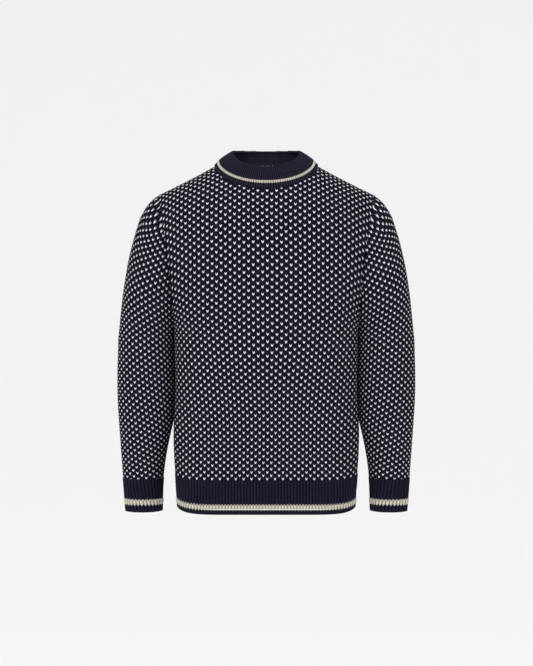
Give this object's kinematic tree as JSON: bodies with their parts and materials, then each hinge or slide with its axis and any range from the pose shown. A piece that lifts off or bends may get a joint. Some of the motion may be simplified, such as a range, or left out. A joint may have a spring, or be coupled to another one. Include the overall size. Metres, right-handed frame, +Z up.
{
  "type": "knitted jumper",
  "caption": "Long-sleeved knitted jumper with mock neck, ribbed hem and cuffs, contrast stripes and an all-over small V stitch pattern.",
  "frame": {"origin": "midway between the two high shoulder points, where the jumper hangs on its wearer", "axes": "+Z up, -Y towards the front, +X towards the wearer's left"},
  "size_m": [0.5846, 0.241, 0.714],
  "materials": {
    "navy_knit": "matt wool stocking stitch with off-white V stitches",
    "navy_rib_knit": "matt wool rib",
    "off_white_knit": "matt wool rib courses in contrast yarn",
    "label_satin": "plain woven satin, blank"
  },
  "bodies": {
    "torso": {"front_body": "navy_knit", "back_body": "navy_knit", "left_sleeve_head": "navy_knit", "right_sleeve_head": "navy_knit", "left_side_seam": "navy_knit", "right_side_seam": "navy_knit", "left_armhole_seam": "navy_knit", "right_armhole_seam": "navy_knit", "front_hem_rib": "navy_rib_knit", "back_hem_rib": "navy_rib_knit", "front_hem_edge": "navy_rib_knit", "back_hem_edge": "navy_rib_knit", "neckband_base": "navy_rib_knit", "neckband_rib": "navy_rib_knit", "left_shoulder_tape": "navy_rib_knit", "right_shoulder_tape": "navy_rib_knit", "front_hem_stripe": "off_white_knit", "back_hem_stripe": "off_white_knit", "neck_stripe": "off_white_knit", "care_label": "label_satin"},
    "left_arm": {"left_sleeve": "navy_knit", "left_cuff_rib": "navy_rib_knit", "left_cuff_stripe": "off_white_knit", "left_cuff_edge": "navy_rib_knit", "left_sleeve_seam": "navy_knit"},
    "right_arm": {"right_sleeve": "navy_knit", "right_cuff_rib": "navy_rib_knit", "right_cuff_stripe": "off_white_knit", "right_cuff_edge": "navy_rib_knit", "right_sleeve_seam": "navy_knit"}
  },
  "joints": [
    {"name": "left_sleeve_swing", "type": "hinge", "parent": "torso", "child": "left_arm", "pos_m": [0.27934, 0, -0.242], "axis": [0, -1, 0], "range_deg": [0, 40]},
    {"name": "right_sleeve_swing", "type": "hinge", "parent": "torso", "child": "right_arm", "pos_m": [-0.27934, 0, -0.242], "axis": [0, 1, 0], "range_deg": [0, 40]}
  ]
}
